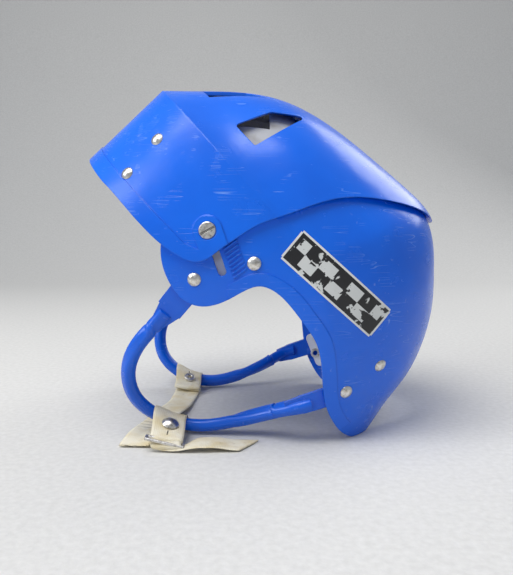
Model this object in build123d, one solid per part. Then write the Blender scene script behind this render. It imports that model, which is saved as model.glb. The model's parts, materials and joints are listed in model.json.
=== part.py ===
from build123d import *
import math
import os

# Two-piece hockey helmet with side guard loops, lying with its front raised.
# Front faces -X, the wearer's left side faces -Y, +Z is up, the floor is Z = 0.

# ---- main sizes (mm) ----
HALF_WIDTH = 102.0
SHELL = 2.8
SHELL_GAP = 0.5
REAR_INSET = SHELL + SHELL_GAP
POLE = (30.0, 127.0)
CENTRE_SHIFT = 0.4
RAISED = 0.7
PLATE = 4.0
PLATE_GAP = 0.2
LINER = 1.2
LINER_INSET = REAR_INSET + SHELL + PLATE_GAP + PLATE + 2.8
TAB_INSET = REAR_INSET + SHELL + PLATE_GAP + PLATE + 1.8

SLIDE = (-0.324, 0.946)
SLIDE_TRAVEL = 8.0
SCREW_AT = (-37.0, 145.0)
SLOT_WIDTH = 5.4
SLOT_BELOW = 27.8
SCREW_SHANK = 2.4
SCREW_HEAD = 5.5
RIVET_SHANK = 2.0
RIVET_HEAD = 4.5
RIVET_FIT = 0.03

BAR_WIDE = 10.3
BAR_THICK = 8.6
STRAP_WIDE = 22.0
STRAP_THICK = 1.3

TEMPLE_RIVET = (-46.0, 113.5)
EAR_RIVET = (-7.5, 124.0)
LOOP_RIVET = (54.0, 37.0)
NAPE_RIVET = (78.0, 53.0)

# Middle outline of the helmet form: x, z and how square its cross-section is.
CROWN = [
    (-76, 246, 2.4), (-62, 246.6, 2.2), (-49, 246.9, 2.1), (-19, 246.2, 2.05),
    (12, 240.5, 2.05), (43, 225.5, 2.05), (74, 202.5, 2.1), (106, 175.5, 2.15),
    (124, 156, 2.2), (130.5, 138, 2.2), (132.5, 112, 2.2), (131.5, 86, 2.25),
    (125.5, 60, 2.3), (111.5, 29, 2.3), (91, 0, 2.3), (72, -36, 2.35),
    (0, -52, 2.5), (-90, -12, 2.5), (-150, 50, 2.5), (-172, 118, 2.5),
    (-158, 170.5, 2.4),
]


def offset_outline(inset):
    """Move every outline point inwards along its own mitred normal."""
    moved = []
    count = len(CROWN)
    for i, (x, z, square) in enumerate(CROWN):
        before = CROWN[i - 1]
        after = CROWN[(i + 1) % count]
        ax, az = x - before[0], z - before[1]
        bx, bz = after[0] - x, after[1] - z
        al, bl = math.hypot(ax, az), math.hypot(bx, bz)
        nx, nz = az / al + bz / bl, -ax / al - bx / bl
        nl = math.hypot(nx, nz)
        mitre = inset * 2.0 / nl
        moved.append((x + nx / nl * mitre, z + nz / nl * mitre, square))
    return moved


def form(inset):
    """Solid helmet form, shrunk by inset all round."""
    half = HALF_WIDTH - inset
    outline = offset_outline(inset)
    steps = [0, 0.2, 0.38, 0.54, 0.67, 0.77, 0.85, 0.91, 0.955, 0.985, 0.997]
    places = [-s for s in reversed(steps[1:])] + steps
    sections = []
    for place in places:
        points = []
        for x, z, square in outline:
            reach = (1 - abs(place) ** square) ** (1 / square)
            px = POLE[0] + reach * (x - POLE[0])
            pz = POLE[1] + reach * (z - POLE[1])
            points.append(Vector(px, place * half, pz))
        curve = Spline(*points)
        panel = Line(points[-1], points[0])
        sections.append(Face(Wire([curve, panel])))
    return Solid.make_loft([s.outer_wire() for s in sections])


def prism(points, y0=-130.0, y1=130.0, rounding=0.0):
    """Side-view outline carried across the helmet from y0 to y1."""
    face = make_face(Polyline(*[(x, 0, z) for x, z in points], close=True))
    if rounding:
        face = fillet(face.vertices(), rounding)
    body = extrude(face, amount=y1 - y0, dir=(0, 1, 0))
    return body.moved(Location((0, y0, 0)))


def across(shape):
    return mirror(shape, about=Plane.XZ)



def outline_face(straight, curved):
    """Face bounded by straight corner points and one smooth edge."""
    edge = Spline(*[Vector(x, 0, z) for x, z in curved])
    corners = [curved[-1]] + straight + [curved[0]]
    rest = Polyline(*[(x, 0, z) for x, z in corners])
    return Face(Wire([edge] + list(rest.edges())))


def across_helmet(face):
    """Carry a side-view face through the whole width."""
    return extrude(face, amount=260, dir=(0, 1, 0)).moved(Location((0, -130, 0)))


def disc(at, radius):
    """Round side-view prism through the whole width."""
    middle = Plane(origin=(at[0], 0, at[1]), z_dir=(0, 1, 0))
    return Cylinder(radius, 260).moved(Location(middle))


def strip(start, end, start_half, end_half):
    """Side-view strip between two points, as a prism."""
    dx, dz = end[0] - start[0], end[1] - start[1]
    length = math.hypot(dx, dz)
    nx, nz = -dz / length, dx / length
    return prism([
        (start[0] + nx * start_half, start[1] + nz * start_half),
        (end[0] + nx * end_half, end[1] + nz * end_half),
        (end[0] - nx * end_half, end[1] - nz * end_half),
        (start[0] - nx * start_half, start[1] - nz * start_half),
    ])


def left_half():
    return Box(500, 200, 600).moved(Location((0, -100, 100)))


def on_surface(solid, at):
    """Point and outward direction where the left side of a form is met."""
    line = Axis((at[0], 0, at[1]), (0, -1, 0))
    hits = solid.find_intersection_points(line)
    point, normal = min(hits, key=lambda hit: hit[0].Y)
    if normal.Y > 0:
        normal = normal * -1
    return point, normal


def plane_at(point, normal):
    return Plane(origin=point, x_dir=(1, 0, 0.001), z_dir=normal)


def layer(outer, inner, zone):
    """Part of the skin between two forms that lies inside a zone."""
    return (FORMS[outer] & zone) - FORMS[inner]


def depth_to(place, name):
    """How far below a fastener's seat the named form lies."""
    line = Axis(place.origin, place.z_dir * -1)
    hits = FORMS[name].find_intersection_points(line)
    return min((hit[0] - place.origin).length for hit in hits)


def dome(radius, height):
    ball = (radius * radius + height * height) / (2 * height)
    cap = Sphere(ball).moved(Location((0, 0, height - ball)))
    return cap & Cylinder(radius, 20).moved(Location((0, 0, 10)))


def rivet(plane, grip, shoulder=None):
    """Round-head rivet; its closed tail lies grip below the outer surface."""
    body = dome(RIVET_HEAD, 1.9)
    body = body + Cylinder(RIVET_SHANK, grip + 0.5).moved(Location((0, 0, -grip / 2)))
    body = body + Cylinder(3.4, 0.9).moved(Location((0, 0, -grip - 0.45)))
    if shoulder:
        top, low = shoulder
        body = body + Cylinder(3.0, top - low).moved(Location((0, 0, (top + low) / 2)))
    return body.moved(Location(plane))


def bore(plane, radius, depth=40.0):
    return Cylinder(radius, depth).moved(Location(plane))


# ---- forms the shells and liners are cut from ----
INSETS = {
    "raised": -RAISED,
    "front_out": 0.0,
    "front_in": SHELL,
    "rear_raised": REAR_INSET - 0.6,
    "rear_out": REAR_INSET,
    "rear_in": REAR_INSET + SHELL,
    "plate_out": REAR_INSET + SHELL + PLATE_GAP,
    "plate_in": REAR_INSET + SHELL + PLATE_GAP + PLATE,
    "liner_out": LINER_INSET,
    "liner_in": LINER_INSET + LINER,
    "band_out": SHELL + 0.3,
    "band_in": SHELL + 1.6,
    "strap_out": 6.6,
    "strap_in": 7.9,
    "tab_out": TAB_INSET,
    "tab_in": TAB_INSET + LINER,
    "pad_front": 6.3,
    "pad_crown": 9.2,
    "pad_rear": REAR_INSET + SHELL + 0.4,
    "pad_side": REAR_INSET + SHELL + 0.4,
    "pad_in": 16.0,
    "pad_crown_in": 18.0,
    "pad_side_in": 14.0,
}
FORMS = {name: form(inset) for name, inset in INSETS.items()}

SEAM = [
    (-110, 177.4), (-75, 143.1), (-59, 130.6), (-51, 126.4), (-43.5, 125), (-37, 127),
    (-30, 132.2), (-21, 138.4), (-5.7, 148), (12, 154.4), (41, 164), (58, 166),
    (88, 163), (110, 157.5), (128, 148),
]
EAR_EDGE = [
    (61, 0), (54, 4.5), (46, 15), (40.5, 27.3), (38, 41), (36.3, 58), (33, 71.3),
    (24.9, 84.4), (15.3, 97), (5.7, 106), (-3.8, 109.4), (-13.5, 106.5),
    (-26.5, 99.4), (-42.7, 96), (-52.5, 99.4), (-61, 109), (-67, 124), (-67.5, 137),
]

# ---- front shell ----
front_zone = across_helmet(outline_face(
    [(180, 120), (180, 300), (-190, 300), (-190, 256)], SEAM))
brow_border = prism(
    [(-190, 256), (-59.5, 128), (-44, 118), (-36, 127)]
    + [(-43, 133), (-52, 137)] + [(-170, 254)])
boss_pad = disc(SCREW_AT, 9.5) + strip(
    SCREW_AT, (SCREW_AT[0] + 9, SCREW_AT[1] - 26), 9.5, 9.5)
raised_zone = (brow_border + boss_pad) & front_zone

front_shell = layer("front_out", "front_in", front_zone)
front_shell = front_shell + layer("raised", "front_in", raised_zone)

side_vent = prism([(-20, 213.5), (-7, 199), (28.5, 221.5), (4, 224)], -110, -30, 1.6)
top_vent = extrude(make_face(Polyline(
    (-46, -25), (-39, -44), (9, -31), (-14, -22), close=True)), 80).moved(
    Location((0, 0, 200)))
for vent in (side_vent, top_vent):
    front_shell = front_shell - vent - across(vent)

# ---- rear shell ----
rear_zone = across_helmet(outline_face(
    [(-66, 160), (-56, 178), (-30, 184), (40, 187), (86, 183), (104, 174),
     (180, 172), (180, 0)], EAR_EDGE))
inner_zone = across_helmet(outline_face(
    [(-66, 160), (-56, 178), (-30, 184), (40, 187), (86, 183), (104, 174),
     (180, 172), (180, 0)],
    [(70, 0), (62, 9), (54, 19), (49.5, 30), (47.5, 43), (46, 60), (42, 76),
     (33, 90), (22, 104), (9, 114), (-4, 118), (-16, 114.5), (-29, 107)]))
rear_shell = layer("rear_out", "rear_in", rear_zone)
rim_zone = (rear_zone - inner_zone) & prism([(-24, 60), (-24, 124), (60, 124), (60, 14), (44, 2)])
rear_shell = rear_shell + layer("rear_raised", "rear_in", rim_zone)
nape_arch = extrude(make_face([
    Line((-56, 0, -10), (-56, 0, 0)),
    ThreePointArc((-56, 0, 0), (0, 0, 16), (56, 0, 0)),
    Line((56, 0, 0), (56, 0, -10)),
    Line((56, 0, -10), (-56, 0, -10)),
]), amount=160, dir=(0, 1, 0)).rotate(Axis.Z, -90)
rear_shell = rear_shell - nape_arch

slot_low = (SCREW_AT[0] - SLIDE[0] * SLOT_BELOW, SCREW_AT[1] - SLIDE[1] * SLOT_BELOW)
slot_high = (SCREW_AT[0] + SLIDE[0] * (SLIDE_TRAVEL + 2),
             SCREW_AT[1] + SLIDE[1] * (SLIDE_TRAVEL + 2))
slot_half = SLOT_WIDTH / 2
slot = (strip(slot_low, slot_high, slot_half, slot_half)
        + disc(slot_low, slot_half) + disc(slot_high, slot_half))
rear_shell = rear_shell - slot


# ---- ribbed rack beside the slot ----
RIB_COUNT = 8
RIB_PITCH = 2.7
rack_low = (slot_low[0] + 11.5, slot_low[1] - 1.0)
flat_point, flat_normal = on_surface(FORMS["rear_out"], (-20, 126))
for i in range(RIB_COUNT):
    rib_x = rack_low[0] + SLIDE[0] * RIB_PITCH * i
    rib_z = rack_low[1] + SLIDE[1] * RIB_PITCH * i
    rib = Box(10.5, 1.6, 1.1).rotate(Axis.Y, -36)
    rib = rib.moved(Location((rib_x, flat_point.Y - 0.1, rib_z)))
    rear_shell = rear_shell + rib + across(rib)

# ---- guard loops ----
FRONT_NECK = (-69.4, 86.4)
REAR_NECK = (18.0, 25.5)
front_flat = disc(TEMPLE_RIVET, 9.5) + strip(TEMPLE_RIVET, (-63.5, 92.5), 9.5, 9.0)
front_flat = front_flat + strip((-62.5, 93.5), (-71.5, 83.5), 8.6, 5.15)
rear_flat = disc(LOOP_RIVET, 8.0) + strip(LOOP_RIVET, (24, 27.2), 7.2, 6.6)
rear_flat = rear_flat + strip((26, 27.8), (14, 24.2), 6.6, 5.15)
plates = layer("plate_out", "plate_in", (front_flat + rear_flat) & left_half())

MID_PLATE = form(REAR_INSET + SHELL + PLATE_GAP + PLATE / 2)
front_start, _ = on_surface(MID_PLATE, (-65.5, 91))
front_neck, _ = on_surface(MID_PLATE, FRONT_NECK)
rear_neck, _ = on_surface(MID_PLATE, REAR_NECK)
rear_end, _ = on_surface(MID_PLATE, (30, 28.8))
bar_path = Spline(
    front_start, front_neck, (-84.3, -80.5, 70), (-94, -73.5, 47), (-90, -67.5, 27.3),
    (-77, -63.5, 14.6), (-48, -61.5, 5.85), (-24, -65, 9.6), (2, -73.5, 19),
    rear_neck, rear_end)
bar_section = Plane(origin=bar_path @ 0, x_dir=(0, 1, 0), z_dir=bar_path % 0) * RectangleRounded(
    BAR_THICK, BAR_WIDE, 3.6)
bar = sweep(bar_section, path=bar_path, is_frenet=True)
left_loop = plates + bar

# ---- fastener places: where each sits, which way it points ----
temple = plane_at(*on_surface(FORMS["rear_out"], TEMPLE_RIVET))
ear = plane_at(*on_surface(FORMS["rear_raised"], EAR_RIVET))
loop_end = plane_at(*on_surface(FORMS["rear_out"], LOOP_RIVET))
nape = plane_at(*on_surface(FORMS["rear_out"], NAPE_RIVET))
brow_low = plane_at(*on_surface(FORMS["front_out"], (-91.7, 182)))
brow_high = plane_at(*on_surface(FORMS["front_out"], (-71.8, 204.4)))
screw_place = plane_at(*on_surface(FORMS["raised"], SCREW_AT))
SPOT_FACE = 0.7
screw_place = Plane(
    origin=screw_place.origin + Vector(0, SPOT_FACE, 0), x_dir=(1, 0, 0), z_dir=(0, -1, 0))
spot_face = Cylinder(SCREW_HEAD + 0.3, 10).moved(Location((0, 0, 5))).moved(Location(screw_place))

hole = RIVET_SHANK + RIVET_FIT
for place in (temple, ear, loop_end, nape):
    rear_shell = rear_shell - bore(place, hole) - across(bore(place, hole))
for place in (brow_low, brow_high):
    front_shell = front_shell - bore(place, hole) - across(bore(place, hole))
head_seat = Cylinder(RIVET_HEAD + 0.15, 4).moved(Location((0, 0, 2))).moved(Location(brow_low))
front_shell = front_shell - head_seat - across(head_seat)
screw_hole = bore(screw_place, SCREW_SHANK + 0.05) + spot_face
front_shell = front_shell - screw_hole - across(screw_hole)
for place in (temple, loop_end):
    left_loop = left_loop - bore(place, hole, 30)

# ---- liners inside the shells ----
side_liner = layer("liner_out", "liner_in", left_half() & prism(
    [(-58, 106), (-53, 124), (-46, 158), (-24, 164), (4, 136), (4, 116),
     (-14, 112), (-30, 106), (-44, 100)], rounding=3.5))
for place in (temple, ear):
    side_liner = side_liner - bore(place, hole, 60)
nape_tab = layer("tab_out", "tab_in", left_half() & prism(
    [(39, 43), (50, 15), (87, 46), (80, 60)], rounding=4))
EYELET_AT = (48.5, 28)
nape_tab = nape_tab - bore(nape, hole, 60)
eyelet_place = plane_at(*on_surface(FORMS["tab_out"], EYELET_AT))

brow_strip = strip((-79, 171), (-170, 242), 8.5, 8.5)
forehead_band = layer("band_out", "band_in", brow_strip)
forehead_pad = layer("pad_front", "pad_in", Box(400, 124, 600) & strip(
    (-84, 176), (-170, 243), 11, 11))
crown_strips = Box(500, 17, 600).moved(Location((0, -71, 0)))
crown_strips = (crown_strips + across(crown_strips)) & prism(
    [(-79, 212), (-62, 194), (60, 194), (60, 260), (-79, 260)])
cross_strip = Box(18, 158, 600).moved(Location((12, 0, 0))) & prism(
    [(-60, 194), (60, 194), (60, 260), (-60, 260)])
crown_web = layer("strap_out", "strap_in", crown_strips + cross_strip)
crown_pad = layer("pad_crown", "pad_crown_in", Box(500, 56, 600) & prism(
    [(-52, 200), (52, 200), (52, 260), (-52, 260)]))
nape_pad = layer("pad_rear", "pad_in", Box(500, 96, 600) & prism(
    [(90, 52), (160, 52), (160, 108), (90, 108)]))
side_pad = layer("pad_side", "pad_side_in", left_half() & prism(
    [(48, 72), (76, 74), (92, 92), (88, 128), (48, 128)], rounding=6))
forehead_band = forehead_band - bore(brow_low, hole) - across(bore(brow_low, hole))
crown_web = crown_web - bore(brow_high, hole) - across(bore(brow_high, hole))

# ---- fasteners ----
SEAT = 0.3
temple_rivet = rivet(temple, depth_to(temple, "liner_in") + SEAT, (
    -depth_to(temple, "plate_in") - SEAT, -depth_to(temple, "liner_out") + SEAT))
ear_rivet = rivet(ear, depth_to(ear, "liner_in") + SEAT, (
    -depth_to(ear, "rear_in") - SEAT, -depth_to(ear, "liner_out") + SEAT))
loop_rivet = rivet(loop_end, depth_to(loop_end, "plate_in") + SEAT)
nape_rivet = rivet(nape, depth_to(nape, "tab_in") + SEAT, (
    -depth_to(nape, "rear_in") - SEAT, -depth_to(nape, "tab_out") + SEAT))
low_rivet = rivet(brow_low, depth_to(brow_low, "band_in") + SEAT)
high_rivet = rivet(brow_high, depth_to(brow_high, "strap_in") + SEAT, (
    -depth_to(brow_high, "front_in") - SEAT, -depth_to(brow_high, "strap_out") + SEAT))

CLAMP_DEPTH = depth_to(screw_place, "rear_in") + 3.9
SCREW_LONG = CLAMP_DEPTH + 1.9
screw = Cylinder(SCREW_HEAD, 1.6).moved(Location((0, 0, 0.8)))
screw = chamfer(screw.edges().group_by(Axis.Z)[-1], 0.6)
screw = screw + Cylinder(SCREW_SHANK, SCREW_LONG).moved(Location((0, 0, -SCREW_LONG / 2)))
driver_slot = Box(14, 1.4, 1.2).rotate(Axis.Z, 28).moved(Location((0, 0, 1.3)))
screw = (screw - driver_slot).moved(Location(screw_place))
clamp_plate = Box(11, 13, 1.6) - Cylinder(SCREW_SHANK + 0.05, 10)
clamp_plate = fillet(clamp_plate.edges().filter_by(Axis.Z).group_by(SortBy.LENGTH)[-1], 1.5)
clamp_plate = clamp_plate.moved(Location((0, 0, -CLAMP_DEPTH - 0.8))).moved(Location(screw_place))
eyelet = Cylinder(4.2, 1.9) - Cylinder(2.3, 10)
eyelet = eyelet.moved(Location((0, 0, -0.75))).moved(Location(eyelet_place))
nape_tab = nape_tab - bore(eyelet_place, 4.25, 60)

# ---- chin strap ----
STRAP_X = -66.0
STRAP_TILT = 14.0
RING_IN = 7.6
RING_LIFT = 1.1
TAB_REACH = 31.0
FLAP_REACH = 25.0
FOLD_IN = 1.2
FOLD_DROP = 3.2
CAP_RADIUS = 5.9

bar_points = [bar_path @ (i / 500) for i in range(150, 400)]
bar_here = min(bar_points, key=lambda p: abs(p.X - STRAP_X))
near_wrap = Plane(
    origin=bar_here, x_dir=(0, -1, 0),
    z_dir=(math.cos(math.radians(STRAP_TILT)), 0, -math.sin(math.radians(STRAP_TILT))))
far_wrap = Plane(
    origin=(bar_here.X, -bar_here.Y, bar_here.Z), x_dir=(0, -1, 0), z_dir=near_wrap.z_dir)


def belt(reach, extra):
    """Outline round the bar and a fold further out; extra grows it outwards."""
    ring = Circle(RING_IN + extra).edge().moved(Location((0, -RING_LIFT, 0)))
    fold = Circle(FOLD_IN + extra).edge().moved(Location((reach, FOLD_DROP, 0)))
    return make_hull([ring, fold])


def webbing_loop(reach):
    band = extrude(belt(reach, STRAP_THICK), STRAP_WIDE) - extrude(belt(reach, 0), STRAP_WIDE)
    under_bar = Box(40, 20, 60).moved(Location((-4, 13.6, 0)))
    return band.moved(Location((0, 0, -STRAP_WIDE / 2))) - under_bar


def top_layer(reach, share):
    """Place on the upper layer of a webbing loop, facing away from it."""
    ring_r = RING_IN + STRAP_THICK
    fold_r = FOLD_IN + STRAP_THICK
    dx, dy = reach, FOLD_DROP + RING_LIFT
    long = math.hypot(dx, dy)
    lean = (ring_r - fold_r) / long
    flat = math.sqrt(1 - lean * lean)
    nx = dy / long * flat + dx / long * lean
    ny = -dx / long * flat + dy / long * lean
    px = nx * ring_r * (1 - share) + (reach + nx * fold_r) * share
    py = (-RING_LIFT + ny * ring_r) * (1 - share) + (FOLD_DROP + ny * fold_r) * share
    return Plane(origin=(px, py, 0), x_dir=(0, 0, 1), z_dir=(nx, ny, 0))


cap_place = top_layer(TAB_REACH, 0.5)
snap_cap = dome(CAP_RADIUS, 3.1)
snap_cap = snap_cap + Cylinder(1.8, 3.0).moved(Location((0, 0, -1.5)))
snap_cap = snap_cap.moved(Location(cap_place))
near_tab = webbing_loop(TAB_REACH) - Cylinder(1.83, 6).moved(Location(cap_place))
ring_place = top_layer(FLAP_REACH, 0.55)
snap_ring = Cylinder(4.6, 1.6) - Cylinder(1.9, 10)
snap_ring = chamfer(snap_ring.edges().group_by(Axis.Z)[-1], 0.5)
snap_ring = snap_ring.moved(Location((0, 0, 0.8))).moved(Location(ring_place))

slider_bar = Cylinder(FOLD_IN - 0.15, 26)
slider = slider_bar.moved(Location((TAB_REACH, FOLD_DROP, 0)))
slider = slider + slider_bar.moved(Location((TAB_REACH + 5.2, FOLD_DROP, 0)))
for end in (-12.4, 12.4):
    slider = slider + Box(5.2, 1.8, 1.6).moved(Location((TAB_REACH + 2.6, FOLD_DROP, end)))

near_tab = near_tab.moved(Location(near_wrap))
snap_cap = snap_cap.moved(Location(near_wrap))
slider = slider.moved(Location(near_wrap))
snap_ring = snap_ring.moved(Location(far_wrap))
far_flap = webbing_loop(FLAP_REACH).moved(Location(far_wrap))
near_tab = near_tab - Box(400, 400, 0.8)
far_flap = far_flap - Box(400, 400, 2 * STRAP_THICK + 0.6)

TAIL_Y = bar_here.Y - TAB_REACH - 5.6
tail = Box(48, 19, STRAP_THICK).moved(Location((-29, TAIL_Y + 10.5, STRAP_THICK / 2 + 0.1)))
tail = tail - Box(40, 40, 10).rotate(Axis.Z, -38).moved(Location((14, TAIL_Y, 0)))
tail_rise = Box(10, STRAP_THICK, 1.7).moved(Location((-54, TAIL_Y + 1.7, 0.95)))
tail = tail + tail_rise
span = extrude(make_face(Polyline(
    (-81, 66), (-59, 66), (-61, 0), (-76, -58), (-82, -86), (-93, -89),
    (-97, -62), (-83, 0), close=True)), STRAP_THICK)

export = {
    "front_shell": front_shell,
    "rear_shell": rear_shell,
    "left_guard_loop": left_loop,
    "right_guard_loop": across(left_loop),
    "forehead_band": forehead_band,
    "forehead_pad": forehead_pad,
    "crown_web": crown_web,
    "crown_pad": crown_pad,
    "nape_pad": nape_pad,
    "strap_near_tab": near_tab,
    "strap_far_flap": far_flap,
    "strap_span": span,
    "strap_tail": tail,
    "strap_slider": slider,
    "snap_cap": snap_cap,
    "snap_ring": snap_ring,
}
pairs = {
    "side_liner": side_liner,
    "side_pad": side_pad,
    "nape_tab": nape_tab,
    "nape_eyelet": eyelet,
    "temple_rivet": temple_rivet,
    "ear_rivet": ear_rivet,
    "loop_rivet": loop_rivet,
    "nape_rivet": nape_rivet,
    "brow_rivet": low_rivet,
    "crown_rivet": high_rivet,
    "adjusting_screw": screw,
    "clamp_plate": clamp_plate,
}
for name, shape in pairs.items():
    export["left_" + name] = shape
    export["right_" + name] = across(shape)

os.makedirs("parts", exist_ok=True)
for name, shape in export.items():
    export_step(shape.moved(Location((CENTRE_SHIFT, 0, 0))), "parts/" + name + ".step")
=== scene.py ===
import json
import math

import bpy
import bmesh
import numpy as np
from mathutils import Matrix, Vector
from mathutils.bvhtree import BVHTree


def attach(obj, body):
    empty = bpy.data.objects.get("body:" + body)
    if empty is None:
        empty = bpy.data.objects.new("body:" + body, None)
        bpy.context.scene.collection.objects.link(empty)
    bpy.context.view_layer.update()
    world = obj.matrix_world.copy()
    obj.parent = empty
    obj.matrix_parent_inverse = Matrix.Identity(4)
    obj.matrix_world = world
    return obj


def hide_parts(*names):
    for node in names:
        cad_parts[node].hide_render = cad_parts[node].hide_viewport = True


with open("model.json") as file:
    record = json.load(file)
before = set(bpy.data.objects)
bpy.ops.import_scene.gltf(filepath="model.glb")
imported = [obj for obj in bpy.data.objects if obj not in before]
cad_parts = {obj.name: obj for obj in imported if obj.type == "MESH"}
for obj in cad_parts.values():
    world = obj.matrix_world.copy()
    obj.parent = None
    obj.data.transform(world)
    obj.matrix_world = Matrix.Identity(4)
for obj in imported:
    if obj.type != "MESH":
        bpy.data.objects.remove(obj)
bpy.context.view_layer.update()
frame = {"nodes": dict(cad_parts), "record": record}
nodes = frame["nodes"]
MM = 0.001
SHIFT = 0.4


# ---------------------------------------------------------------- materials
class Shader:
    """A small wrapper that builds one principled material."""

    def __init__(self, name, roughness=0.5, metallic=0.0):
        self.mat = bpy.data.materials.new(name)
        self.mat.use_nodes = True
        self.tree = self.mat.node_tree
        self.out = self.tree.nodes["Principled BSDF"]
        self.out.inputs["Roughness"].default_value = roughness
        self.out.inputs["Metallic"].default_value = metallic
        self.place = self.node("ShaderNodeNewGeometry").outputs["Position"]

    def node(self, kind, **values):
        made = self.tree.nodes.new(kind)
        for key, value in values.items():
            setattr(made, key, value)
        return made

    def feed(self, socket, value):
        if isinstance(value, bpy.types.NodeSocket):
            self.tree.links.new(value, socket)
        else:
            socket.default_value = value

    def math(self, operation, *values):
        made = self.node("ShaderNodeMath", operation=operation)
        for socket, value in zip(made.inputs, values):
            self.feed(socket, value)
        return made.outputs[0]

    def ramp(self, value, low, high):
        made = self.node("ShaderNodeMapRange")
        self.feed(made.inputs["Value"], value)
        self.feed(made.inputs["From Min"], low)
        self.feed(made.inputs["From Max"], high)
        return made.outputs["Result"]

    def stretch(self, vector, scale, turn=(0, 0, 0)):
        made = self.node("ShaderNodeMapping")
        self.feed(made.inputs["Vector"], vector)
        made.inputs["Scale"].default_value = scale
        made.inputs["Rotation"].default_value = turn
        return made.outputs["Vector"]

    def noise(self, scale, detail=3.0, vector=None, distortion=0.0):
        made = self.node("ShaderNodeTexNoise")
        self.feed(made.inputs["Vector"], vector or self.place)
        made.inputs["Scale"].default_value = scale
        made.inputs["Detail"].default_value = detail
        made.inputs["Distortion"].default_value = distortion
        return made.outputs["Fac"]

    def mix(self, amount, first, second):
        made = self.node("ShaderNodeMix", data_type="RGBA")
        self.feed(made.inputs["Factor"], amount)
        self.feed(made.inputs[6], first)
        self.feed(made.inputs[7], second)
        return made.outputs[2]

    def line(self, value, width):
        """1 along the thin band where value is near one half."""
        off = self.math("ABSOLUTE", self.math("SUBTRACT", value, 0.5))
        return self.ramp(off, width, 0.0)

    def bump(self, height, distance, strength=1.0, round_edges=0.0):
        made = self.node("ShaderNodeBump")
        made.inputs["Strength"].default_value = strength
        made.inputs["Distance"].default_value = distance
        self.feed(made.inputs["Height"], height)
        if round_edges:
            bevel = self.node("ShaderNodeBevel")
            bevel.inputs["Radius"].default_value = round_edges
            self.feed(made.inputs["Normal"], bevel.outputs["Normal"])
        self.feed(self.out.inputs["Normal"], made.outputs["Normal"])


def scratches(sh, spread):
    """Fine straight scratches in four directions, short and only in worn patches."""
    total = None
    for turn, scale, patch in (
        ((0.0, 0.35, 0.1), (9, 60, 420), 52),
        ((0.2, -0.75, 0.0), (7, 50, 330), 38),
        ((-0.1, 1.25, 0.2), (8, 55, 380), 60),
        ((0.1, 2.3, -0.2), (6, 40, 290), 44),
    ):
        stretched = sh.stretch(sh.place, scale, turn)
        thin = sh.line(sh.noise(1.0, 0.0, stretched), 0.012)
        where = sh.ramp(sh.noise(patch, 2.0), 0.66 - spread, 0.72 - spread)
        stroke = sh.math("MULTIPLY", thin, where)
        total = stroke if total is None else sh.math("MAXIMUM", total, stroke)
    return total


def blue_plastic(name, base, deep, spread):
    sh = Shader(name, 0.3)
    broad = sh.ramp(sh.noise(14, 4.0), 0.35, 0.7)
    colour = sh.mix(broad, deep, base)
    scuff_mask = sh.ramp(sh.noise(190, 6.0, distortion=0.6), 0.66, 0.74)
    patch = sh.ramp(sh.noise(19, 2.0), 0.55 - spread, 0.7 - spread)
    scuff = sh.math("MULTIPLY", scuff_mask, patch)
    cuts = scratches(sh, spread)
    colour = sh.mix(sh.math("MULTIPLY", scuff, 0.5), colour, (0.42, 0.55, 0.85, 1))
    colour = sh.mix(sh.math("MULTIPLY", cuts, 0.38), colour, (0.30, 0.50, 0.92, 1))
    sh.feed(sh.out.inputs["Base Color"], colour)
    rough = sh.math("ADD", 0.17, sh.math("MULTIPLY", sh.noise(60, 5.0), 0.16))
    rough = sh.math("ADD", rough, sh.math("MULTIPLY", cuts, 0.2))
    sh.feed(sh.out.inputs["Roughness"], rough)
    ripple = sh.math("ADD", sh.math("MULTIPLY", sh.noise(28, 2.0), 0.8), sh.math(
        "MULTIPLY", sh.noise(420, 3.0), 0.05))
    height = sh.math("SUBTRACT", ripple, sh.math("MULTIPLY", cuts, 0.12))
    sh.bump(height, 0.0009, 0.55, 0.0011)
    return sh.mat


def worn_metal(name, tint, dark):
    sh = Shader(name, 0.28, 1.0)
    stain = sh.ramp(sh.noise(420, 5.0, distortion=0.5), 0.45, 0.7)
    # Ambient occlusion turns crevices, rivet edges and the screw slot near black: painted shade in
    # the hollows, partly also the dirt in the slot
    occlusion = sh.node("ShaderNodeAmbientOcclusion", samples=8, only_local=True)
    occlusion.inputs["Distance"].default_value = 0.0013
    crevice_shade_and_dirt = sh.ramp(occlusion.outputs["AO"], 0.92, 0.5)
    metal = sh.mix(stain, tint, dark)
    sh.feed(sh.out.inputs["Base Color"], sh.mix(crevice_shade_and_dirt, metal, (0.02, 0.017, 0.014, 1)))
    rough = sh.math("ADD", 0.2, sh.math("MULTIPLY", sh.noise(900, 4.0), 0.22))
    sh.feed(sh.out.inputs["Roughness"], rough)
    sh.bump(sh.noise(1300, 3.0), 0.00012, 0.6, 0.0004)
    return sh.mat


def dull_plastic(name, base, dirt):
    sh = Shader(name, 0.45)
    crevice_shade_and_dirt = sh.ramp(sh.noise(60, 5.0), 0.48, 0.75)
    sh.feed(sh.out.inputs["Base Color"], sh.mix(crevice_shade_and_dirt, base, dirt))
    sh.bump(sh.noise(500, 3.0), 0.0002, 0.5, 0.0004)
    return sh.mat


def foam_material(name):
    sh = Shader(name, 0.95)
    cells = sh.node("ShaderNodeTexVoronoi")
    sh.feed(cells.inputs["Vector"], sh.place)
    cells.inputs["Scale"].default_value = 900
    cell = cells.outputs["Distance"]
    tone = sh.mix(sh.noise(40, 4.0), (0.035, 0.036, 0.04, 1), (0.10, 0.10, 0.105, 1))
    sh.feed(sh.out.inputs["Base Color"], tone)
    sh.bump(cell, 0.0006, 0.9)
    return sh.mat


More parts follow.
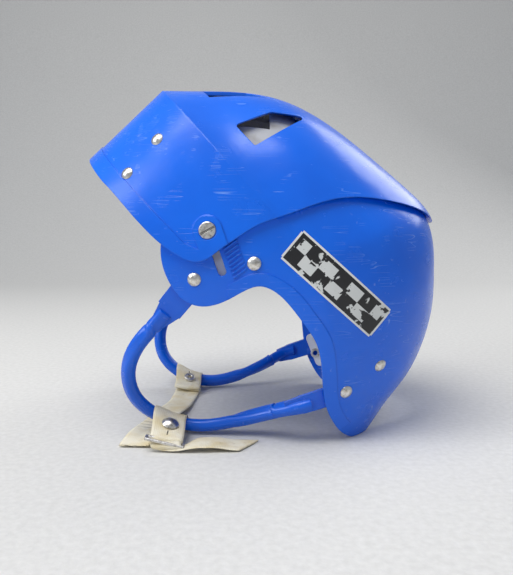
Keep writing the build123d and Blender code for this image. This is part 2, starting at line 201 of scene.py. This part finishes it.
def webbing_material(name, slit=None):
    """Woven, coated strap: UVs run in metres along and across it."""
    sh = Shader(name, 0.72)
    uv = sh.node("ShaderNodeUVMap", uv_map="strap").outputs["UV"]
    split = sh.node("ShaderNodeSeparateXYZ")
    sh.feed(split.inputs["Vector"], uv)
    along, over = split.outputs["X"], split.outputs["Y"]
    lean = sh.math("ADD", along, sh.math("MULTIPLY", over, 0.22))
    warp = sh.math("SINE", sh.math("MULTIPLY", lean, 6900.0))
    weft = sh.math("SINE", sh.math("MULTIPLY", over, 5200.0))
    weave = sh.math("ADD", sh.math("MULTIPLY", warp, 0.32), sh.math("MULTIPLY", weft, 0.18))
    stain = sh.ramp(sh.noise(70, 5.0), 0.42, 0.72)
    colour = sh.mix(stain, (0.87, 0.82, 0.66, 1), (0.74, 0.62, 0.36, 1))
    dirt = sh.ramp(sh.noise(260, 6.0), 0.62, 0.8)
    colour = sh.mix(sh.math("MULTIPLY", dirt, 0.4), colour, (0.36, 0.29, 0.18, 1))
    shade = sh.ramp(weave, -0.5, 0.5)
    colour = sh.mix(sh.math("MULTIPLY", sh.math("SUBTRACT", 1.0, shade), 0.22), colour,
                    (0.34, 0.29, 0.19, 1))
    # A near-black line along the slit: painted shade inside the gap of the cut
    if slit:
        start, end = slit
        near = sh.math("LESS_THAN", sh.math("ABSOLUTE", over), 0.00035)
        begun = sh.math("GREATER_THAN", along, start)
        ended = sh.math("LESS_THAN", along, end)
        slit_shade = sh.math("MULTIPLY", near, sh.math("MULTIPLY", begun, ended))
        colour = sh.mix(slit_shade, colour, (0.02, 0.017, 0.012, 1))
    sh.feed(sh.out.inputs["Base Color"], colour)
    sh.bump(sh.math("ADD", weave, sh.math("MULTIPLY", sh.noise(700, 3.0), 0.4)), 0.00022, 0.8)
    return sh.mat


def label_material(name):
    """Worn two-tone sticker with a plain check pattern."""
    sh = Shader(name, 0.35)
    uv = sh.node("ShaderNodeUVMap", uv_map="label").outputs["UV"]
    split = sh.node("ShaderNodeSeparateXYZ")
    sh.feed(split.inputs["Vector"], uv)
    u, v = split.outputs["X"], split.outputs["Y"]
    column = sh.math("GREATER_THAN", sh.math("FRACT", sh.math("MULTIPLY", u, 3.5)), 0.5)
    row = sh.math("GREATER_THAN", v, 0.5)
    checks = sh.math("ABSOLUTE", sh.math("SUBTRACT", column, row))
    inside_u = sh.math("MULTIPLY", sh.math("GREATER_THAN", u, 0.05), sh.math("LESS_THAN", u, 0.95))
    inside_v = sh.math("MULTIPLY", sh.math("GREATER_THAN", v, 0.17), sh.math("LESS_THAN", v, 0.83))
    art = sh.math("MULTIPLY", checks, sh.math("MULTIPLY", inside_u, inside_v))
    rim_u = sh.math("MULTIPLY", sh.math("GREATER_THAN", u, 0.018), sh.math("LESS_THAN", u, 0.982))
    rim_v = sh.math("MULTIPLY", sh.math("GREATER_THAN", v, 0.06), sh.math("LESS_THAN", v, 0.94))
    rim = sh.math("SUBTRACT", 1.0, sh.math("MULTIPLY", rim_u, rim_v))
    flakes = sh.ramp(sh.noise(210, 6.0, distortion=0.3), 0.60, 0.62)
    worn_black = sh.ramp(sh.noise(160, 6.0, distortion=0.3), 0.60, 0.62)
    white = (0.66, 0.68, 0.67, 1)
    black = (0.012, 0.012, 0.014, 1)
    ground = sh.mix(worn_black, black, white)
    picture = sh.mix(flakes, white, black)
    colour = sh.mix(art, ground, picture)
    colour = sh.mix(rim, colour, (0.74, 0.75, 0.74, 1))
    sh.feed(sh.out.inputs["Base Color"], colour)
    sh.bump(sh.math("ADD", flakes, worn_black), 0.00008, 0.7)
    return sh.mat


def floor_material(name):
    sh = Shader(name, 0.85)
    grain = sh.ramp(sh.noise(240, 6.0), 0.3, 0.8)
    tone = sh.mix(grain, (0.60, 0.595, 0.58, 1), (0.69, 0.685, 0.67, 1))
    sh.feed(sh.out.inputs["Base Color"], tone)
    sh.bump(sh.noise(600, 4.0), 0.0003, 0.4)
    return sh.mat


looks = {
    "blue_shell": blue_plastic("shell blue", (0.0, 0.145, 0.84, 1), (0.0, 0.115, 0.72, 1), 0.05),
    "blue_loop": blue_plastic("loop blue", (0.0, 0.125, 0.76, 1), (0.0, 0.095, 0.62, 1), 0.0),
    "nickel": worn_metal("nickel", (0.78, 0.76, 0.72, 1), (0.42, 0.38, 0.32, 1)),
    "white_plastic": dull_plastic("white liner", (0.88, 0.89, 0.90, 1), (0.62, 0.60, 0.55, 1)),
    "grey_band": dull_plastic("grey band", (0.40, 0.41, 0.43, 1), (0.22, 0.21, 0.2, 1)),
    "foam": foam_material("foam"),
    "webbing": webbing_material("webbing"),
}
for part in frame["record"]["subparts"]:
    shown = nodes[part["node"]]
    shown.data.materials.clear()
    shown.data.materials.append(looks[part["material_slot"]])


# ---------------------------------------------------------------- helpers
def make_object(name, verts, faces, material, uvs=None, uv_name="strap", smooth=True):
    mesh = bpy.data.meshes.new(name)
    mesh.from_pydata([tuple(v) for v in verts], [], faces)
    if uvs is not None:
        layer = mesh.uv_layers.new(name=uv_name)
        for loop in mesh.loops:
            layer.data[loop.index].uv = uvs[loop.vertex_index]
    for polygon in mesh.polygons:
        polygon.use_smooth = smooth
    mesh.materials.append(material)
    made = bpy.data.objects.new(name, mesh)
    bpy.context.scene.collection.objects.link(made)
    return made


def smooth_path(points, count):
    """Even steps along a Catmull-Rom curve through the points."""
    pts = [Vector(p) for p in points]
    pts = [pts[0] * 2 - pts[1]] + pts + [pts[-1] * 2 - pts[-2]]
    fine = []
    for i in range(1, len(pts) - 2):
        for step in range(24):
            t = step / 24
            a, b, c, d = pts[i - 1:i + 3]
            fine.append(0.5 * ((2 * b) + (c - a) * t + (2 * a - 5 * b + 4 * c - d) * t * t
                               + (3 * b - a - 3 * c + d) * t ** 3))
    fine.append(pts[-2])
    lengths = [0.0]
    for one, two in zip(fine, fine[1:]):
        lengths.append(lengths[-1] + (two - one).length)
    result = []
    for i in range(count):
        want = lengths[-1] * i / (count - 1)
        at = max(1, int(np.searchsorted(lengths, want)))
        at = min(at, len(fine) - 1)
        span = max(lengths[at] - lengths[at - 1], 1e-9)
        result.append(fine[at - 1].lerp(fine[at], min(1.0, (want - lengths[at - 1]) / span)))
    return result, lengths[-1]


def ribbon(name, place, count, length, width, thick, material, trim=None):
    """Flat webbing: place(t, side) is its middle surface, t from 0 to 1, side from -1 to 1."""
    over = 12
    grid = np.zeros((count, over + 1, 3))
    for i in range(count):
        for j in range(over + 1):
            t, side = i / (count - 1), -1 + 2 * j / over
            if trim:
                t, side = trim(t, side)
            grid[i, j] = place(t, side)
    along = np.gradient(grid, axis=0)
    sideways = np.gradient(grid, axis=1)
    normal = np.cross(along, sideways)
    normal /= np.maximum(np.linalg.norm(normal, axis=2, keepdims=True), 1e-12)
    side_of = np.linspace(-1, 1, over + 1)
    half = thick / 2 * np.sqrt(np.clip(1 - np.abs(side_of) ** 6, 0.08, 1))[None, :, None]
    top, low = grid + normal * half, grid - normal * half
    verts, uvs = [], []
    for layer in (top, low):
        for i in range(count):
            for j in range(over + 1):
                verts.append(layer[i, j] * MM)
                uvs.append((i / (count - 1) * length * MM, side_of[j] * width / 2 * MM))
    row, size = over + 1, count * (over + 1)
    faces = []
    for i in range(count - 1):
        for j in range(over):
            a = i * row + j
            faces.append((a, a + 1, a + row + 1, a + row))
            faces.append((size + a, size + a + row, size + a + row + 1, size + a + 1))
        a = i * row
        faces.append((a, a + row, size + a + row, size + a))
        b = a + over
        faces.append((b, size + b, size + b + row, b + row))
    for j in range(over):
        faces.append((j, size + j, size + j + 1, j + 1))
        e = (count - 1) * row + j
        faces.append((e, e + 1, size + e + 1, size + e))
    made = make_object(name, verts, faces, material, uvs)
    cleaner = bmesh.new()
    cleaner.from_mesh(made.data)
    bmesh.ops.recalc_face_normals(cleaner, faces=cleaner.faces)
    cleaner.to_mesh(made.data)
    cleaner.free()
    return made


# ---------------------------------------------------------------- chin strap
STRAP_X = -66.0
STRAP_WIDE = 22.0
STRAP_THICK = 1.15
WRAP_STEPS = 150
BAR_Z = [(-90, 27.3), (-84, 20.2), (-77, 14.6), (-66, 9.2), (-60, 7.4), (-54, 6.3), (-48, 5.85)]
BAR_Y = [(-90, 67.5), (-77, 63.5), (-66, 61.9), (-48, 61.5)]


def bar_height(x):
    return float(np.interp(x, [p[0] for p in BAR_Z], [p[1] for p in BAR_Z]))


def bar_side(x):
    return float(np.interp(x, [p[0] for p in BAR_Y], [p[1] for p in BAR_Y]))


def wrap_outline(reach, drop):
    """Round the bar and out to the fold, seen along the bar: out, down."""
    points = [(reach + 1.2, drop + 0.6), (reach + 0.4, drop - 1.5), (reach - 3, drop - 2.3)]
    points += [(reach * 0.62, -1.6), (reach * 0.38, -4.6), (3.2, -6.3)]
    for angle in (100, 135, 170, 205, 240, 265):
        turn = math.radians(angle)
        points.append((5.2 * math.cos(turn), -6.1 * math.sin(turn)))
    points += [(4.5, 6.0), (reach * 0.4, 5.8), (reach * 0.7, 5.0), (reach - 1, drop + 1.7),
               (reach + 0.9, drop + 0.9)]
    return [(u, -v, 0) for u, v in points]


def wrap_strap(name, far, reach, drop, material):
    path, length = smooth_path(wrap_outline(reach, drop), WRAP_STEPS)
    direction = 1.0 if far else -1.0

    def place(t, side):
        spot = path[min(WRAP_STEPS - 1, int(round(t * (WRAP_STEPS - 1))))]
        x = STRAP_X + side * STRAP_WIDE / 2
        share = min(1.0, max(0.0, (spot.x - 4) / (reach - 6)))
        level = bar_height(x) * (1 - share) + (9.2 - 0.12 * (x - STRAP_X)) * share
        level += 0.25 * math.sin(side * 2.1 + t * 9)
        if far:
            y = bar_side(x) - spot.x
        else:
            y = -bar_side(x) * (1 - share) - 61.9 * share - spot.x
        z = max(level + spot.y, 0.75)
        return (x + SHIFT + 0.3 * math.sin(t * 14), y, z)

    return ribbon(name, place, WRAP_STEPS, length, STRAP_WIDE, STRAP_THICK, material)


def stand_in(piece, node, body):
    """Let a strap piece take the place of its CAD node."""
    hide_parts(node)
    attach(piece, body)


NEAR_REACH = 31.0
FAR_REACH = 25.0
FOLD_DROP = 3.2
near_webbing = webbing_material("webbing tab", (0.0055, 0.0105))
far_webbing = webbing_material("webbing flap", (0.0165, 0.024))
stand_in(wrap_strap("near_strap_end", False, NEAR_REACH, FOLD_DROP, near_webbing),
         "strap_near_tab", "strap_end")
stand_in(wrap_strap("far_strap_end", True, FAR_REACH, FOLD_DROP, far_webbing),
         "strap_far_flap", "rear_body")

span_path, span_long = smooth_path([
    (-66, 44, 2.4), (-66.5, 34, 1.2), (-68, 15, 0.9), (-70, -8, 2.6), (-75, -30, 3.2),
    (-82, -50, 1.4), (-86, -66, 1.0), (-87.5, -82, 1.6), (-88, -91, 1.2)], 140)


def span_place(t, side):
    at = min(138, int(t * 139))
    spot, ahead = span_path[at], span_path[at + 1] - span_path[at]
    over = Vector((-ahead.y, ahead.x, 0)).normalized()
    lift = 0.7 * (1 + math.sin(t * 17 + side)) * abs(side)
    spot = spot - over * side * 10.4
    return (spot.x + SHIFT, spot.y, max(0.7, spot.z + lift * 0.6))


stand_in(ribbon("strap_span_web", span_place, 140, span_long, 21.0, STRAP_THICK, looks["webbing"]),
         "strap_span", "rear_body")

tail_path, tail_long = smooth_path([
    (-66, -95.6, 6.2), (-65.5, -98.2, 4.4), (-63, -98.4, 2.2), (-56, -95.5, 2.4), (-47, -92.0, 3.6),
    (-34, -89.5, 3.4), (-22, -88.5, 1.6), (-10, -88, 0.9), (-4, -87.5, 0.8)], 120)


def tail_place(t, side):
    at = min(118, int(t * 119))
    spot = tail_path[at]
    turn = min(1.0, max(0.0, (t - 0.08) / 0.34))
    turn = turn * turn * (3 - 2 * turn) * math.pi / 2
    over = Vector((math.cos(turn), math.sin(turn), 0.16 * math.sin(turn * 2)))
    spot = spot + over.normalized() * side * (10.2 - 2.2 * math.sin(turn * 2))
    return (spot.x + SHIFT, max(-100.5, spot.y), max(0.7, spot.z))


def slant_end(t, side):
    """Cut the free end at a slant."""
    return t * (1 - 0.10 * (1 - side)), side


stand_in(ribbon("strap_tail_web", tail_place, 120, tail_long, 20.5, 1.1, looks["webbing"], slant_end),
         "strap_tail", "strap_end")


# ---------------------------------------------------------------- foam pads
def foam_block(node, body):
    """A softened, slightly lumpy copy of a plain pad."""
    source = nodes[node]
    made = bpy.data.objects.new("foam_" + node, source.data.copy())
    bpy.context.scene.collection.objects.link(made)
    made.matrix_world = source.matrix_world.copy()
    for kind, values in (
        ("REMESH", {"mode": "VOXEL", "voxel_size": 0.0016}),
        ("SMOOTH", {"factor": 0.8, "iterations": 14}),
    ):
        modifier = made.modifiers.new(kind, kind)
        for key, value in values.items():
            setattr(modifier, key, value)
    bpy.context.view_layer.update()
    graph = bpy.context.evaluated_depsgraph_get()
    shaped = bpy.data.meshes.new_from_object(made.evaluated_get(graph))
    made.modifiers.clear()
    made.data = shaped
    for polygon in shaped.polygons:
        polygon.use_smooth = True
    shaped.materials.clear()
    shaped.materials.append(looks["foam"])
    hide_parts(node)
    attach(made, body)
    return made


for node, body in (
    ("forehead_pad", "front_body"), ("crown_pad", "front_body"), ("nape_pad", "rear_body"),
    ("left_side_pad", "rear_body"), ("right_side_pad", "rear_body"),
):
    foam_block(node, body)


# ---------------------------------------------------------------- slot guides
def slot_guide(name, side):
    """White plastic strip lining the lower end of the slot, behind the shell."""
    slide = Vector((-0.324, 0, 0.946))
    middle = Vector((-28.0 + SHIFT, side * 90.9, 118.8)) + slide * 6.0
    made_mesh = bpy.data.meshes.new(name)
    shaper = bmesh.new()
    bmesh.ops.create_cube(shaper, size=1.0)
    for vert in shaper.verts:
        along, thick, wide = vert.co.z * 27.0, vert.co.y * 0.8, vert.co.x * 9.0
        lean = side * -0.10 * along
        vert.co = (middle + slide * along + Vector((0.946, 0, 0.324)) * wide
                   + Vector((0, thick + lean, 0))) * MM
    bmesh.ops.bevel(shaper, geom=shaper.edges[:], offset=0.0003, segments=2, affect="EDGES")
    shaper.to_mesh(made_mesh)
    shaper.free()
    made_mesh.materials.append(looks["white_plastic"])
    made = bpy.data.objects.new(name, made_mesh)
    bpy.context.scene.collection.objects.link(made)
    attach(made, "rear_body")


slot_guide("left_slot_guide", -1)
slot_guide("right_slot_guide", 1)


# ---------------------------------------------------------------- label
def lay_label(name, side):
    """Rounded sticker laid on the rear shell, side is -1 for the wearer's left."""
    shell = nodes["rear_shell"]
    tree = BVHTree.FromObject(shell, bpy.context.evaluated_depsgraph_get())
    occlusion = Vector((23.4 + SHIFT, 145.5))
    along = Vector((82.9 - 23.4, 92.2 - 145.5))
    down = Vector((8.7 - 23.4, 127.9 - 145.5))
    across_count, down_count = 96, 30
    verts, uvs, faces, kept = [], [], [], {}
    for i in range(across_count + 1):
        for j in range(down_count + 1):
            u, v = i / across_count, j / down_count
            spot = occlusion + along * u + down * v
            start = Vector((spot.x * MM, side * 0.2, spot.y * MM))
            hit, normal, _, _ = tree.ray_cast(start, Vector((0, -side, 0)))
            if normal.y * side < 0:
                normal = -normal
            verts.append(hit + normal * 0.00022)
            uvs.append((u, 1 - v))
    row = down_count + 1
    long_mm, wide_mm, corner_mm = along.length, down.length, 2.6
    for i in range(across_count):
        for j in range(down_count):
            cu, cv = (i + 0.5) / across_count * long_mm, (j + 0.5) / down_count * wide_mm
            du = max(corner_mm - cu, cu - (long_mm - corner_mm), 0)
            dv = max(corner_mm - cv, cv - (wide_mm - corner_mm), 0)
            if math.hypot(du, dv) <= corner_mm:
                a = i * row + j
                faces.append((a, a + 1, a + row + 1, a + row))
    made = make_object(name, verts, faces, label_material(name), uvs, "label")
    cleaner = bmesh.new()
    cleaner.from_mesh(made.data)
    loose = [v for v in cleaner.verts if not v.link_faces]
    bmesh.ops.delete(cleaner, geom=loose, context="VERTS")
    if side < 0:
        bmesh.ops.reverse_faces(cleaner, faces=cleaner.faces)
    cleaner.to_mesh(made.data)
    cleaner.free()
    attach(made, "rear_body")
    return made


lay_label("left_label", -1)
lay_label("right_label", 1)


# ---------------------------------------------------------------- stage, light, camera
SWEEP = 0.8


def sweep_floor():
    """Level floor that curves up into a backdrop behind the helmet."""
    profile = [(-4.0, 0.0), (0.9, 0.0)]
    for turn in np.linspace(0.05, math.pi / 2, 24):
        profile.append((0.9 + SWEEP * math.sin(turn), SWEEP * (1 - math.cos(turn))))
    profile.append((1.7, 3.5))
    verts, faces = [], []
    for y, z in profile:
        verts += [(-5.0, y, z - 0.0002), (5.0, y, z - 0.0002)]
    for i in range(len(profile) - 1):
        faces.append((2 * i, 2 * i + 1, 2 * i + 3, 2 * i + 2))
    return make_object("floor", verts, faces, floor_material("pale floor"))


sweep_floor()
bpy.context.scene.view_settings.view_transform = "Standard"

world = bpy.data.worlds.new("studio")
bpy.context.scene.world = world
world.use_nodes = True
world.node_tree.nodes["Background"].inputs["Color"].default_value = (0.86, 0.91, 1.0, 1)
world.node_tree.nodes["Background"].inputs["Strength"].default_value = 0.42


def area_light(name, spot, target, size, power, colour):
    data = bpy.data.lights.new(name, "AREA")
    data.size = size
    data.energy = power
    data.color = colour
    made = bpy.data.objects.new(name, data)
    made.location = spot
    made.rotation_euler = (Vector(target) - Vector(spot)).to_track_quat("-Z", "Y").to_euler()
    bpy.context.scene.collection.objects.link(made)


area_light("sky", (-0.35, -0.35, 1.3), (0, 0, 0.1), 0.9, 15, (1.0, 0.98, 0.95))
area_light("front", (-1.3, -0.5, 0.8), (0, 0, 0.15), 0.6, 7, (0.95, 0.98, 1.0))
area_light("back", (0.9, 0.8, 0.9), (0, 0, 0.12), 0.8, 6, (1.0, 1.0, 1.0))

PITCH = math.radians(6.5)
SENSOR = 36.0
LENS_TO_SENSOR = 1.10435
camera_data = bpy.data.cameras.new("camera")
camera_data.sensor_fit = "VERTICAL"
camera_data.sensor_height = SENSOR
camera_data.lens = LENS_TO_SENSOR * SENSOR
camera = bpy.data.objects.new("camera", camera_data)
camera.location = (-0.0056, -0.5, 0.1545)
camera.rotation_euler = (math.pi / 2 - PITCH, 0, 0)
bpy.context.scene.collection.objects.link(camera)
bpy.context.scene.camera = camera
